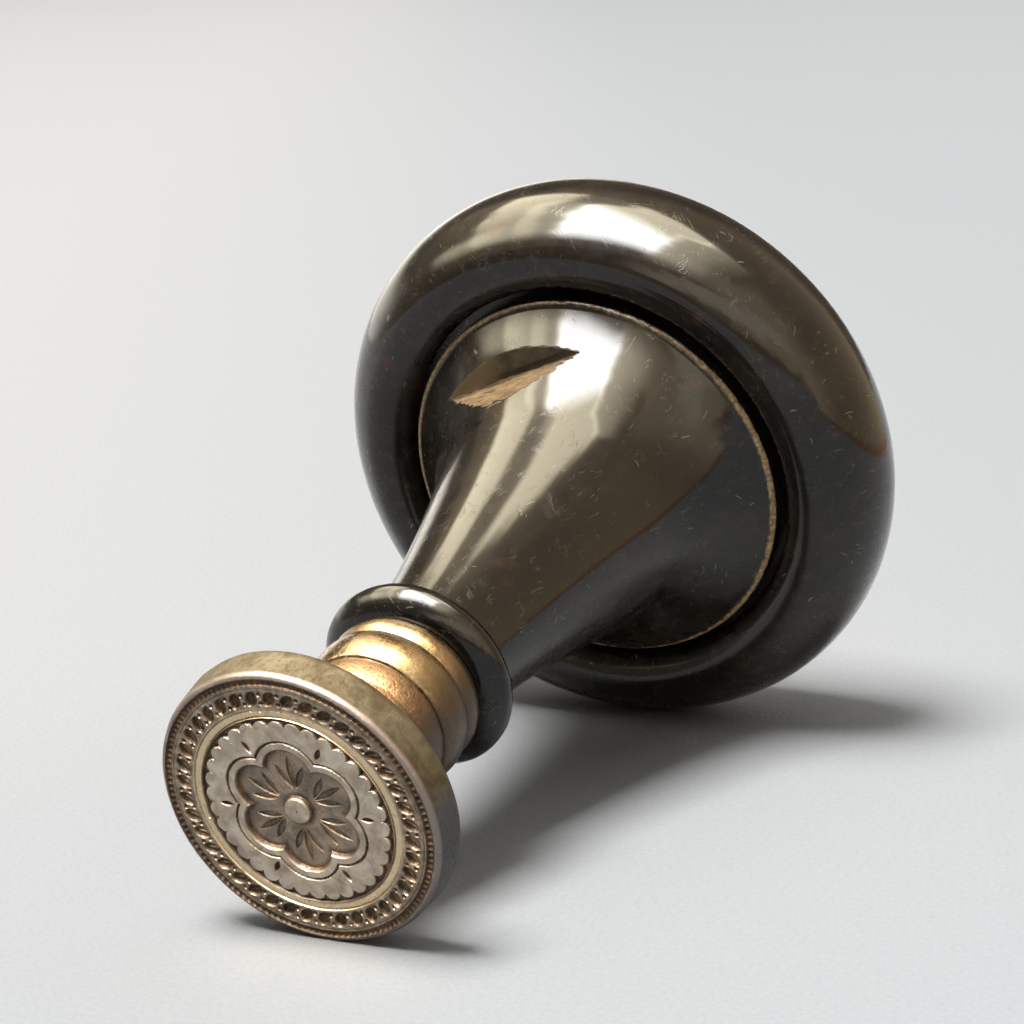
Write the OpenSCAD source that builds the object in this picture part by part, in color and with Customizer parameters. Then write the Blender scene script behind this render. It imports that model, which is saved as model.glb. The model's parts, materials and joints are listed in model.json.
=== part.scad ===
// Hand seal for wax, lying on its side as it does on a desk.
// The seal's axis runs from the engraved face up to the head, and heights are measured along it
// from that face.
// The origin is on the desk under the middle of the seal, +Z is up and the axis leans up from -X to +X.

/* [Matrix] */
// Diameter of the engraved face at its rim
face_d = 33; // [30:0.5:36]
// Thickness of the disc
matrix_t = 4.3; // [3.6:0.1:6]
// How much the disc's radius grows towards its back
matrix_flare = 0.6; // [0:0.1:1.2]
// Radius of the rounded front rim
rim_round = 0.8; // [0.4:0.1:1.1]
// Depth of the engraving
cut_depth = 0.6; // [0.3:0.05:0.9]
// Number of scallops round the field
scallops = 28; // [20:1:32]
// Number of leaves round the border band
leaves = 30; // [20:1:34]
// Number of lobes in the middle figure
lobes = 6; // [5:1:7]

/* [Neck] */
// Length of the neck from the disc to the collar
neck_len = 20.3; // [18:0.1:24]
// Diameter of the broad bead
bead_d = 18.8; // [18:0.1:19.6]
// Height of the broad bead
bead_h = 4.2; // [3.4:0.1:5]
// Diameter of the small bead under the collar
small_bead_d = 18.4; // [18:0.1:19.6]
// Height of the small bead
small_bead_h = 2.7; // [2.2:0.1:3.2]
// Diameter of the neck at the bottom of its hollow
hollow_d = 13; // [12:0.1:14]
// Diameter of the foot that sits on the disc
foot_d = 19; // [17:0.5:22]

/* [Collar] */
// Outside diameter of the collar ring
collar_d = 23; // [22:0.1:25]
// Height of the collar ring
collar_h = 4.9; // [4.4:0.1:5.4]

/* [Stem] */
// Length of the stem from the collar to its rim
stem_len = 44.7; // [40:0.1:50]
// Diameter of the stem at the collar
stem_end_d = 16.4; // [15.8:0.1:17.5]
// Diameter of the stem where the flare begins
flare_start_d = 30.8; // [28:0.1:33]
// Length of the flare
flare_len = 12.4; // [10:0.1:15]
// Diameter of the stem's rim
lip_d = 49; // [47:0.1:50]
// Height of the rim's outer wall
lip_h = 4.9; // [4:0.1:5.5]

/* [Head] */
// Width of the head's ring, outside the groove
ring_w = 11.1; // [10:0.1:12.5]
// Thickness of the head, which is round in section at its outside
head_t = 20.4; // [19:0.1:22]
// Width of the groove between the stem's rim and the head
groove_w = 0.9; // [0.5:0.1:1.2]
// Radius of the head's inner edge, where it rolls into the groove
roll_r = 4; // [3:0.1:5]

/* [Palm cap] */
// Diameter of the cap
cap_d = 38; // [34:0.5:42]
// Height of the cap's dome above the back of the head
cap_rise = 2.2; // [1:0.1:3]

/* [Fixings] */
// Diameter of the threaded stud
stud_d = 7; // [6:0.1:8]
// Pitch of the stud's thread
pitch = 1.5; // [1:0.25:2]
// Turns that undo the stud
turns = 10; // [8:1:11]
// Diameter of the stem's tenon
tenon_d = 18; // [16:0.5:20]

/* [Hidden] */
$fn = 96;

// Room left between pieces
running_gap = 0.05;  // radial, in a fit that turns
glue_gap = 0.05;     // radial, in a glued or soldered fit
end_gap = 0.3;       // at the blind end of a fit
past = 1;            // how far a cut runs past the face it starts from

// Radii
face_r = face_d / 2;
bead_r = bead_d / 2;
small_bead_r = small_bead_d / 2;
hollow_r = hollow_d / 2;
foot_r = foot_d / 2;
collar_r = collar_d / 2;
stem_end_r = stem_end_d / 2;
flare_start_r = flare_start_d / 2;
lip_r = lip_d / 2;
cap_r = cap_d / 2;
stud_r = stud_d / 2;
tenon_r = tenon_d / 2;

// Heights along the axis
neck_z = matrix_t;
collar_z = neck_z + neck_len;
stem_z = collar_z + collar_h;
lip_z = stem_z + stem_len;
seat_z = lip_z + lip_h;

// Disc: the side leans out at side_angle and runs tangent to the round of the front rim
side_angle = atan(matrix_flare / matrix_t);
rim_centre = [face_r - rim_round, rim_round];
rim_touch = rim_centre + rim_round * [cos(side_angle), -sin(side_angle)];
back_r = rim_touch.x + (matrix_t - rim_touch.y) * tan(side_angle);
solder_depth = 2;
spigot_r = 5;

// Engraving, as shares of the face's radius
border_r = [0.91, 0.96];
band_r = [0.77, 0.88];
scallop_r = [0.655, 0.715];
leaf_width_share = 0.42;
leaf_lean = 35;    // degrees off the radius
lobe_r = 0.185;
lobe_reach = 0.275;
heart_r = 0.2;
eye_r = 0.085;
sprig_r = [0.43, 0.61];
sprig_width_share = 0.4;

// Neck mouldings, from the collar down
quirk_h = 0.4;
quirk_depth = 0.5;
small_bead_z = collar_z - small_bead_h;
bead_top_z = small_bead_z - quirk_h;
bead_z = bead_top_z - bead_h;
bead_arc_r = 6;
bead_lean = 0.6;    // share of the bead's height where it is widest
fillet_h = 0.4;
fillet_step = 0.9;
fillet_r = bead_r - fillet_step;
foot_h = 1.3;
hollow_top_z = bead_z - fillet_h;
hollow_z = neck_z + foot_h;
hollow_step = 0.4;
hollow_top_r = fillet_r - hollow_step;
hollow_mid = (hollow_top_z + hollow_z) / 2;
hollow_half = (hollow_top_z - hollow_z) / 2;
hollow_rise = hollow_top_r - hollow_r;
hollow_arc_r = (pow(hollow_rise, 2) + pow(hollow_half, 2)) / (2 * hollow_rise);

// Collar: a half-round ring on the stem's spigot
collar_tube_r = collar_h / 2;
collar_core_r = collar_r - collar_tube_r;
spigot_wall = 1.8;
bush_wall = 1.7;
bush_bore_r = stud_r + running_gap;
bush_r = bush_bore_r + bush_wall;
bush_seat_r = bush_r + glue_gap;
stem_spigot_r = bush_seat_r + spigot_wall;
collar_bore_r = stem_spigot_r + running_gap;

// Stud and bush: the thread lets go after its last turn
travel = pitch * turns;
stud_z = neck_z + foot_h + solder_depth;
stud_top_z = collar_z + end_gap + travel;
bush_z = collar_z + end_gap;
bush_spare = 3;    // threads left in the bush behind the stud
bush_len = travel + bush_spare;
stud_chamfer = 0.8;

// Stem: two arcs that meet smoothly where the flare begins
flare_z = lip_z - flare_len;
lip_round = 0.8;
arc_end_r = lip_r - lip_round;
shaft_chord = [flare_start_r - stem_end_r, flare_z - stem_z];
flare_chord = [arc_end_r - flare_start_r, flare_len];
shaft_chord_angle = atan2(shaft_chord.x, shaft_chord.y);
flare_chord_angle = atan2(flare_chord.x, flare_chord.y);
meet_share = 0.24;
meet_angle = shaft_chord_angle + meet_share * (flare_chord_angle - shaft_chord_angle);
shaft_arc_r = norm(shaft_chord) / (2 * sin(meet_angle - shaft_chord_angle));
flare_arc_r = norm(flare_chord) / (2 * sin(flare_chord_angle - meet_angle));
meet_normal = [cos(meet_angle), -sin(meet_angle)];
meet_point = [flare_start_r, flare_z];

// Head: a big circle outside, and a small one tangent inside it that rolls down into the groove
well_r = lip_r + groove_w;
head_r = well_r + ring_w;
tube_r = head_t / 2;
core_r = head_r - tube_r;
seat_to_middle = 3.15;
head_z = seat_z + seat_to_middle;
head_back_z = head_z + tube_r;
roll_centre_r = well_r + roll_r;
roll_centre = [roll_centre_r, head_z - sqrt(pow(tube_r - roll_r, 2) - pow(roll_centre_r - core_r, 2))];
head_centre = [core_r, head_z];
head_touch = head_centre + (roll_centre - head_centre) * tube_r / norm(roll_centre - head_centre);

// Cap, tenon and wedge
cap_depth = 3;
cap_z = head_back_z - cap_depth;
cap_seat_r = cap_r + glue_gap;
dome_r = (pow(cap_r, 2) + pow(cap_rise, 2)) / (2 * cap_rise);
mortise_r = tenon_r + glue_gap;
tenon_top_z = cap_z - end_gap;
wedge_spare = 2;    // solid tenon below the wedge's tip
wedge_len = tenon_top_z - seat_z - wedge_spare;
wedge_w = [0.6, 2.6];    // thickness at its tip and at its head

// Lying on the desk: the front rim and the head both touch it
rest_span = [head_z - rim_centre.y, core_r - rim_centre.x];
lie_angle = atan2(rest_span.y, rest_span.x) + asin((tube_r - rim_round) / norm(rest_span));
face_height = rim_round - rim_centre.y * sin(lie_angle) + rim_centre.x * cos(lie_angle);
low_x = rim_centre.y * cos(lie_angle) - rim_centre.x * sin(lie_angle) - rim_round;
high_x = head_z * cos(lie_angle) + core_r * sin(lie_angle) + tube_r;
face_x = -(low_x + high_x) / 2;

// Turns the upright axis down onto the desk
module lay() {
    translate([face_x, 0, face_height]) rotate([0, 90 - lie_angle, 0]) children();
}

// Solid of revolution, from an outline with radius across and height up
module turned() {
    lay() rotate_extrude() children();
}

// Ring outline between two radii and two heights
module band(r0, r1, z0, z1) {
    translate([r0, z0]) square([r1 - r0, z1 - z0]);
}

// Flat ring between two shares of the face's radius
module face_ring(shares) {
    difference() {
        circle(face_r * shares[1]);
        circle(face_r * shares[0]);
    }
}

// Pointed leaf along +X from r0 to r1, made of two arcs
module leaf(r0, r1, width) {
    half = (r1 - r0) / 2;
    arc_r = (pow(half, 2) + pow(width / 2, 2)) / width;
    translate([r0 + half, 0]) intersection() {
        translate([0, arc_r - width / 2]) circle(arc_r);
        translate([0, width / 2 - arc_r]) circle(arc_r);
    }
}

// Scalloped channel round the field
module scalloped_channel() {
    scallop_round = PI * face_r * scallop_r[0] / scallops;
    difference() {
        face_ring(scallop_r);
        for (i = [0:scallops - 1])
            rotate(i * 360 / scallops) translate([face_r * scallop_r[0], 0]) circle(scallop_round);
    }
}

// Leaves leaning alike round the border band
module leaf_band() {
    leaf_len = face_r * (band_r[1] - band_r[0]);
    middle_r = face_r * (band_r[0] + band_r[1]) / 2;
    for (i = [0:leaves - 1])
        rotate(i * 360 / leaves) translate([middle_r, 0]) rotate(leaf_lean)
            leaf(-leaf_len / 2, leaf_len / 2, leaf_len * leaf_width_share);
}

// Sunk figure of round lobes, with an eye left standing in the middle
module foil() {
    difference() {
        union() {
            circle(face_r * heart_r);
            for (i = [0:lobes - 1])
                rotate(i * 360 / lobes) translate([face_r * lobe_reach, 0]) circle(face_r * lobe_r);
        }
        circle(face_r * eye_r);
    }
}

// One pointed leaf outside each notch of the figure
module sprigs() {
    sprig_w = face_r * (sprig_r[1] - sprig_r[0]) * sprig_width_share;
    for (i = [0:lobes - 1])
        rotate((i + 0.5) * 360 / lobes) leaf(face_r * sprig_r[0], face_r * sprig_r[1], sprig_w);
}

// Everything sunk into the face
module engraving() {
    face_ring(border_r);
    leaf_band();
    scalloped_channel();
    foil();
    sprigs();
}

module disc_outline() {
    translate(rim_centre) circle(rim_round);
    polygon([
        [0, 0], [rim_centre.x, 0], rim_centre, rim_touch, [back_r, matrix_t], [0, matrix_t]
    ]);
}

module seal_matrix() {
    color("tan") lay() difference() {
        rotate_extrude() disc_outline();
        translate([0, 0, -past]) linear_extrude(past + cut_depth) engraving();
        translate([0, 0, matrix_t - solder_depth])
            cylinder(r = spigot_r + glue_gap, h = solder_depth + past);
    }
}

// Half-round moulding that stands out to a radius
module bead_outline(radius, arc_r, middle_z, z0, z1) {
    intersection() {
        translate([radius - arc_r, middle_z]) circle(arc_r);
        band(0, radius, z0, z1);
    }
}

module neck_outline() {
    small_arc_r = small_bead_h / 2;
    bead_outline(small_bead_r, small_arc_r, collar_z - small_arc_r, small_bead_z, collar_z);
    band(0, small_bead_r - small_arc_r, small_bead_z, collar_z);
    band(0, small_bead_r - quirk_depth, bead_top_z, small_bead_z);
    bead_outline(bead_r, bead_arc_r, bead_z + bead_lean * bead_h, bead_z, bead_top_z);
    band(0, fillet_r, hollow_top_z, bead_z);
    difference() {
        band(0, hollow_top_r, hollow_z, hollow_top_z);
        translate([hollow_r + hollow_arc_r, hollow_mid]) circle(hollow_arc_r);
    }
    band(0, foot_r, neck_z, hollow_z);
    band(0, spigot_r, neck_z - solder_depth + end_gap, neck_z);
}

module matrix_neck() {
    color("gold") turned() difference() {
        neck_outline();
        band(0, stud_r + glue_gap, stud_z, collar_z + past);
    }
}

module stud_outline() {
    polygon([
        [0, stud_z], [stud_r - stud_chamfer, stud_z], [stud_r, stud_z + stud_chamfer],
        [stud_r, stud_top_z - stud_chamfer], [stud_r - stud_chamfer, stud_top_z], [0, stud_top_z]
    ]);
}

module tang_stud() {
    color("dimgray") turned() stud_outline();
}

module collar_outline() {
    difference() {
        translate([collar_core_r, collar_z + collar_tube_r]) circle(collar_tube_r);
        band(0, collar_core_r, collar_z, stem_z);
    }
    band(collar_bore_r, collar_core_r, collar_z, stem_z);
}

module collar_ring() {
    color([0.12, 0.11, 0.11]) turned() collar_outline();
}

module shaft_outline() {
    difference() {
        band(0, flare_start_r, stem_z, flare_z);
        translate(meet_point + shaft_arc_r * meet_normal) circle(shaft_arc_r, $fn = 4 * $fn);
    }
}

module flare_outline() {
    difference() {
        band(0, arc_end_r, flare_z, lip_z);
        translate(meet_point + flare_arc_r * meet_normal) circle(flare_arc_r);
    }
    translate([arc_end_r, lip_z + lip_round]) circle(lip_round);
    band(0, arc_end_r, lip_z, seat_z);
    band(0, lip_r, lip_z + lip_round, seat_z);
}

module stem_outline() {
    difference() {
        union() {
            band(0, stem_spigot_r, bush_z, stem_z);
            shaft_outline();
            flare_outline();
            band(0, tenon_r, seat_z, tenon_top_z);
        }
        band(0, bush_seat_r, bush_z - past, bush_z + bush_len + end_gap);
    }
}

// Tapered wedge across the tenon, point down
module wedge() {
    rotate([90, 0, 0]) translate([0, 0, -tenon_r]) linear_extrude(2 * tenon_r) polygon([
        [-wedge_w[0] / 2, tenon_top_z - wedge_len], [wedge_w[0] / 2, tenon_top_z - wedge_len],
        [wedge_w[1] / 2, tenon_top_z], [-wedge_w[1] / 2, tenon_top_z]
    ]);
}

module stem() {
    color([0.2, 0.17, 0.14]) lay() difference() {
        rotate_extrude() stem_outline();
        wedge();
    }
}

module thread_bush() {
    color("goldenrod") turned() band(bush_bore_r, bush_r, bush_z, bush_z + bush_len);
}

// Half of the head's section, outside the line on which its two circles touch
module head_outside() {
    reach = 2 * head_r;
    along = (head_touch - head_centre) / tube_r;
    intersection() {
        translate(head_centre) circle(tube_r);
        polygon([
            head_centre - reach * along, head_centre + reach * along,
            head_centre + reach * [1, -1], head_centre + reach * [1, 1]
        ]);
    }
}

module head_outline() {
    head_outside();
    translate(roll_centre) circle(roll_r);
    difference() {
        polygon([
            [mortise_r, seat_z], [well_r, seat_z], [well_r, roll_centre.y], roll_centre, head_centre,
            [core_r, head_back_z], [mortise_r, head_back_z]
        ]);
        band(0, cap_seat_r, cap_z, head_back_z + past);
    }
}

module head_ring() {
    color([0.15, 0.13, 0.12]) turned() head_outline();
}

module tenon_wedge() {
    color("burlywood") lay() intersection() {
        wedge();
        translate([0, 0, seat_z]) cylinder(r = tenon_r, h = tenon_top_z - seat_z);
    }
}

module cap_outline() {
    band(0, cap_r, cap_z, head_back_z);
    intersection() {
        translate([0, head_back_z + cap_rise - dome_r]) circle(dome_r, $fn = 4 * $fn);
        band(0, cap_r, head_back_z, head_back_z + cap_rise);
    }
}

module palm_cap() {
    color([0.18, 0.15, 0.13]) turned() cap_outline();
}

seal_matrix();
matrix_neck();
tang_stud();
collar_ring();
stem();
thread_bush();
head_ring();
tenon_wedge();
palm_cap();
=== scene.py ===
"""Looks of a hand seal for wax that lies on its side: surfaces and wear, floor, light and camera.

Every piece is turned about the seal's own axis. Outlines are (radius, height) points in millimetres.
The height runs along the axis from the engraved face to the head, and LAID puts the points into the frame.
About the axis, 0 degrees is the side that lies down, 180 the top and 270 the side near the camera.
"""

import json
import math

import bpy
import numpy as np
from mathutils import Matrix, Vector, noise


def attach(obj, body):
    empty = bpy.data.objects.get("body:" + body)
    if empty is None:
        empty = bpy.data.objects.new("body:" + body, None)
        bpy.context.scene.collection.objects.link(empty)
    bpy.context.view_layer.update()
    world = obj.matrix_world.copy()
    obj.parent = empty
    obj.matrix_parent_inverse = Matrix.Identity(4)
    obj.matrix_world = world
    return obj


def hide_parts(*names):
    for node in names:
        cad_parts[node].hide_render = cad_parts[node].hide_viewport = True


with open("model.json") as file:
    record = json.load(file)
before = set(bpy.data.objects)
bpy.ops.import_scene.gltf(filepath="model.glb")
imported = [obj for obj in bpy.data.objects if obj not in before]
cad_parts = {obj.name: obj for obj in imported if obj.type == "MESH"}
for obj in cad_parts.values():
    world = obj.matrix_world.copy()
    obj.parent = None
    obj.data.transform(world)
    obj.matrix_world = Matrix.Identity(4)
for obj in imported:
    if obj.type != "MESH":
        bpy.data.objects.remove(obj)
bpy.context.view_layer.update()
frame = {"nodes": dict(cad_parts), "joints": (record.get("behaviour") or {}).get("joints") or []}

MM = 0.001
SHARP_ANGLE = 38


def lay():
    """Matrix that puts axis coordinates into the frame, taken from the joint that turns the handle."""
    turn = next(joint for joint in frame["joints"] if joint["name"] == "handle_turn")
    along = Vector(turn["axis"]).normalized()
    level = Vector((0, 1, 0))
    matrix = Matrix((level.cross(along), level, along)).transposed().to_4x4()
    matrix.translation = Vector(turn["pos_m"])
    return matrix


LAID = lay()


def reach(node):
    """Lowest height, highest height and largest radius of a CAD node, in millimetres."""
    back = LAID.inverted()
    points = np.array([back @ vertex.co for vertex in frame["nodes"][node].data.vertices]) / MM
    radius = np.hypot(points[:, 0], points[:, 1])
    return points[:, 2].min(), points[:, 2].max(), radius.max()


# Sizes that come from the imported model, in millimetres
FACE_Z, MATRIX_TOP, MATRIX_BACK_R = reach("seal_matrix")
COLLAR_Z, STEM_Z, COLLAR_R = reach("collar_ring")
STUD_Z, STUD_TOP, STUD_R = reach("tang_stud")
_, BUSH_TOP, BUSH_R = reach("thread_bush")
SPIGOT_Z, TENON_TOP, LIP_R = reach("stem")
_, HEAD_BACK, HEAD_R = reach("head_ring")
CAP_Z, CAP_TOP, CAP_R = reach("palm_cap")

# Sizes of the disc, in millimetres
FACE_R = 16.5
FACE_RINGS = 150
RIM_ROUND = 0.8
BACK_EDGE = 0.15
SPIGOT_R = 5.0
SPIGOT_DEPTH = 2.0

# Sizes of the neck, in millimetres and degrees, with BEAD_LEAN as a share of the bead's height
SOLDER_GAP = 0.3
FOOT_R = 9.5
FOOT_H = 1.3
FOOT_EDGE = 0.15
FOOT_ROUND = 0.25
HOLLOW_R = 6.9
HOLLOW_FOOT_R = 8.9
HOLLOW_RISE = 4.0
FILLET_ARC_R = 6.0
FILLET_LEAN = (-22, 8)
BEAD_UNDER = 0.8
BEAD_ROLL = -66
BEAD_R = 9.4
BEAD_H = 4.2
BEAD_ARC_R = 6.0
BEAD_LEAN = 0.6
QUIRK_R = 8.95
QUIRK_H = 0.4
SMALL_BEAD_R = 9.2
SMALL_BEAD_H = 2.7
SMALL_BEAD_EDGE = 0.4
SMALL_BEAD_MIDDLE = 1.25
SMALL_ARC_R = 2.6

# The stud's sizes in millimetres, and the slope and crest of its thread's profile
STUD_CHAMFER = 0.8
PITCH = 1.5
THREAD_DEPTH = 0.6
THREAD_SLOPE = 2.6
THREAD_CREST = 0.15

# Sizes of the collar, the stem and the head, in millimetres and degrees
CREST_ROUND = 1.5
CREST_SHARE = 0.55
CREST_FRONT = -35
CREST_BACK = 40
STEM_SPIGOT_R = 7.1
STEM_END_R = 8.2
STEM_EDGE = 0.15
FLARE_R = 15.4
FLARE_LEN = 12.4
MEET_SHARE = 0.24
LIP_H = 4.9
LIP_ROUND = 0.8
GROOVE_W = 0.9
WELL_DEPTH = 7.05
ROLL_R = 4.0
TUBE_R = 10.2
TENON_R = 9.0

# Clearances, and the radius at which an outline stops short of the axis, in millimetres
FIT = 0.05
END_GAP = 0.3
CORE_R = 0.1

# Cap: how far the dome stays under the CAD's, and the (radius, depth, width) of its turned lines
DOME_SINK = 0.01
CAP_RINGS = 90
CAP_LINES = ((0.86 * CAP_R, 0.18, 0.25), (2.4, 0.1, 0.2))

# Depths of dents and chips, and the width of the stem's worn edge, in millimetres
DISC_DENT = 0.03
COLLAR_DENT = 0.025
HEAD_DENT = 0.03
STEM_WAVE = 0.02
CHIP_DEPTH = 0.3
WORN_W = 0.3

# Places that follow from the sizes
SEAT_Z = HEAD_BACK - 2 * TUBE_R + WELL_DEPTH
LIP_Z = SEAT_Z - LIP_H
FLARE_Z = LIP_Z - FLARE_LEN
WELL_R = LIP_R + GROOVE_W
BEAD_TOP = COLLAR_Z - SMALL_BEAD_H - QUIRK_H
BEAD_Z = BEAD_TOP - BEAD_H
HOLLOW_Z = MATRIX_TOP + FOOT_H


# Outlines

def smooth(value):
    """Eases a value from 0 to 1."""
    value = np.clip(value, 0, 1)
    return value * value * (3 - 2 * value)


def path(*corners, step=0.5):
    """Points along straight stretches through all corners, without the last one."""
    points = []
    for start, end in zip(corners, corners[1:]):
        count = max(1, round(math.dist(start, end) / step))
        points += [tuple(np.array(start) + (np.array(end) - start) * i / count) for i in range(count)]
    return points


def along_arc(centre, radius, angle):
    """Point on an arc at an angle in degrees."""
    turn = math.radians(angle)
    return centre[0] + radius * math.cos(turn), centre[1] + radius * math.sin(turn)


def rise_angle(rise, radius):
    """Angle in degrees at which an arc has risen above its centre by a height."""
    return math.degrees(math.asin(rise / radius))


def arc(centre, radius, start, end, step=0.25):
    """Points along an arc between two angles in degrees, without its last one."""
    count = max(3, round(abs(math.radians(end - start)) * radius / step))
    return [along_arc(centre, radius, angle) for angle in np.linspace(start, end, count + 1)[:-1]]


def bend(start, end, lean, step=0.25):
    """Points along an arc from start to end that leaves start at an angle of lean degrees to the axis."""
    chord = np.array(end) - start
    half = math.atan2(chord[0], chord[1]) - math.radians(lean)
    radius = math.hypot(*chord) / (2 * math.sin(half))
    count = max(4, round(abs(2 * half * radius) / step))
    first = math.radians(lean)
    turns = first + 2 * half * np.arange(count) / count
    return [(start[0] + radius * (math.cos(first) - math.cos(t)),
             start[1] + radius * (math.sin(t) - math.sin(first))) for t in turns]


def ogee(start, end, step=0.2):
    """Points along a soft S-bend that runs along the axis at both its ends, without its last one."""
    count = max(4, round(math.dist(start, end) / step))
    shares = np.arange(count) / count
    return [(start[0] + (end[0] - start[0]) * smooth(share), start[1] + (end[1] - start[1]) * share)
            for share in shares]


# Turned meshes

def around_axis(radius, height, angle):
    """Points in axis coordinates."""
    return np.stack([radius * np.cos(angle), radius * np.sin(angle), height], axis=-1)


def lumps(points, scale):
    """Soft noise from -1 to 1 at points in millimetres, with lumps of about scale millimetres."""
    flat = points.reshape(-1, 3) / scale
    return np.array([noise.noise(Vector(point)) for point in flat]).reshape(points.shape[:-1])


def quads(rows, around):
    """Faces of a grid of points that closes both ways."""
    corner = np.arange(rows * around).reshape(rows, around)
    after = np.roll(corner, -1, axis=0)
    faces = np.stack([corner, np.roll(corner, -1, axis=1), np.roll(after, -1, axis=1), after], axis=-1)
    return faces.reshape(-1, 4).tolist()


def add(name, data):
    """New object in the scene."""
    item = bpy.data.objects.new(name, data)
    bpy.context.scene.collection.objects.link(item)
    return item


def turned(name, outline, shape, around=256):
    """Closed mesh of an outline turned about the axis, whose ends are joined, laid into the frame.
    shape(radius, height, angle) gives moved radii and heights and a dict of attributes.
    The attribute spot keeps each point's place in axis millimetres for the materials."""
    outline = np.array(outline, float)
    turns = np.arange(around) * 2 * math.pi / around
    radius, angle = np.meshgrid(outline[:, 0], turns, indexing="ij")
    height = np.repeat(outline[:, 1:2], around, axis=1)
    radius, height, marks = shape(radius, height, angle)
    points = around_axis(radius, height, angle).reshape(-1, 3)
    mesh = bpy.data.meshes.new(name)
    mesh.from_pydata((points * MM).tolist(), [], quads(len(outline), around))
    for mark, values in marks.items():
        attribute = mesh.attributes.new(mark, "FLOAT", "POINT")
        attribute.data.foreach_set("value", values.astype(np.float32).ravel())
    spot = mesh.attributes.new("spot", "FLOAT_VECTOR", "POINT")
    spot.data.foreach_set("vector", points.astype(np.float32).ravel())
    mesh.transform(LAID)
    mesh.shade_smooth()
    mesh.set_sharp_from_angle(angle=math.radians(SHARP_ANGLE))
    return add(name, mesh)


# Engraving of the face

# Radii and widths are shares of the face's radius. A cut is a depth, or a depth and its wall's width, in mm
CUT_DEPTH = 0.6
WALL = 0.17
PATINA_REACH = 0.9
BORDER = (0.91, 0.96)
BORDER_CUT = (0.42, 0.2)
TICKS = 132
TICK_RISE = 0.55
TICK_SHINE = 0.5
HAIR_RING = (0.888, 0.896)
HAIR_CUT = (0.16, 0.06)
BAND = (0.755, 0.885)
LEAVES = 40
LEAF_LEAN = math.radians(35)
LEAF_WIDTH = 0.68
LEAF_CUT = 0.5
RIB_W = 0.1
RIB_RISE = 0.55
BERRY_R = 0.017
BERRY_CUT = (0.3, 0.12)
BERRY_OFFSET = 0.25
RIDGE = (0.69, 0.745)
RIDGE_FALL = 0.28
RIDGE_DARK = 0.8
SCALLOPS = 34
SCALLOP = (0.605, 0.685)
SCALLOP_CUT = (0.45, 0.12)
SPRIG = (0.465, 0.57)
SPRIG_WIDTH = 0.4
SPRIG_CUT = 0.4
LOBES = 6
LOBE_R = 0.185
LOBE_REACH = 0.275
LOBE_WALL = 0.3
LOBE_STAIN = 0.55
HEART_R = 0.2
EYE_R = 0.085
VEIN_LEANS = (-0.5, 0.0, 0.5)
VEIN_ROOT = 0.13
VEIN = (0.02, 0.27)
VEIN_SHORTER = 0.1
VEIN_W = 0.05
VEIN_CUT = (0.2, 0.1)
FOIL_LINE_AT = 0.05
FOIL_LINE_W = 0.02
FOIL_LINE_CUT = (0.25, 0.1)


def sector(radius, angle, count, start=0.0):
    """X and Y, in face radii, in one of count equal sectors, with X along the sector's middle."""
    width = 2 * math.pi / count
    folded = (angle - start + width / 2) % width - width / 2
    return radius * np.cos(folded), radius * np.sin(folded)


def leaning(x, y, root, lean):
    """Distances along and across a line that leaves a root on the X axis at an angle in radians."""
    along = (x - root) * math.cos(lean) + y * math.sin(lean)
    across = y * math.cos(lean) - (x - root) * math.sin(lean)
    return along, across


def disc(x, y, centre, radius):
    """Distance outside a circle with its centre on the X axis."""
    return np.hypot(x - centre, y) - radius


def leaf(x, y, start, end, width):
    """Distance outside a pointed leaf along X, made of two arcs."""
    half = (end - start) / 2
    bow = (half ** 2 + (width / 2) ** 2) / width
    x = x - (start + end) / 2
    return np.maximum(np.hypot(x, y - bow + width / 2), np.hypot(x, y + bow - width / 2)) - bow


def ring(radius, shares):
    """Distance outside a flat ring."""
    return np.abs(radius - sum(shares) / 2) - (shares[1] - shares[0]) / 2


def cut(outside, depth, wall=WALL):
    """Depth of a cut with sloping walls, and its dark corners, from the distance outside its outline."""
    inward = -outside * FACE_R
    sunk = depth * smooth(inward / wall)
    dark = smooth(inward / (0.6 * wall)) * np.exp(-np.maximum(inward - wall, 0) / PATINA_REACH)
    return sunk, dark


def milled_border(share, angle):
    """Sunk border in which ticks stand up."""
    tick = 0.5 + 0.5 * np.cos(TICKS * angle)
    sunk, dark = cut(ring(share, BORDER), *BORDER_CUT)
    return sunk * (1 - TICK_RISE * tick ** 1.5), dark * (1 - TICK_SHINE * tick)


def leaf_band(share, angle):
    """Leaning leaves, each with a rib, and two berries between each two."""
    middle = sum(BAND) / 2
    length = BAND[1] - BAND[0]
    along, across = leaning(*sector(share, angle, LEAVES), middle, LEAF_LEAN)
    sunk, dark = cut(leaf(along, across, -length / 2, length / 2, LEAF_WIDTH * length), LEAF_CUT)
    rib = np.exp(-(across * FACE_R / RIB_W) ** 2)
    layers = [(sunk * (1 - RIB_RISE * rib), dark)]
    x, y = sector(share, angle, LEAVES, math.pi / LEAVES)
    for offset in (BERRY_OFFSET, -BERRY_OFFSET):
        layers.append(cut(disc(x, y, middle + offset * length, BERRY_R), *BERRY_CUT))
    return stacked(layers)


def ridge_ring(share):
    """Rounded ridge that falls off to dark edges."""
    across = np.clip((share - sum(RIDGE) / 2) / ((RIDGE[1] - RIDGE[0]) / 2), -1, 1)
    inside = np.abs(across) < 1
    fall = np.where(inside, RIDGE_FALL * (1 - np.sqrt(1 - across ** 2)), 0)
    return fall, RIDGE_DARK * smooth((np.abs(across) - 0.8) / 0.2) * inside


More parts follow.
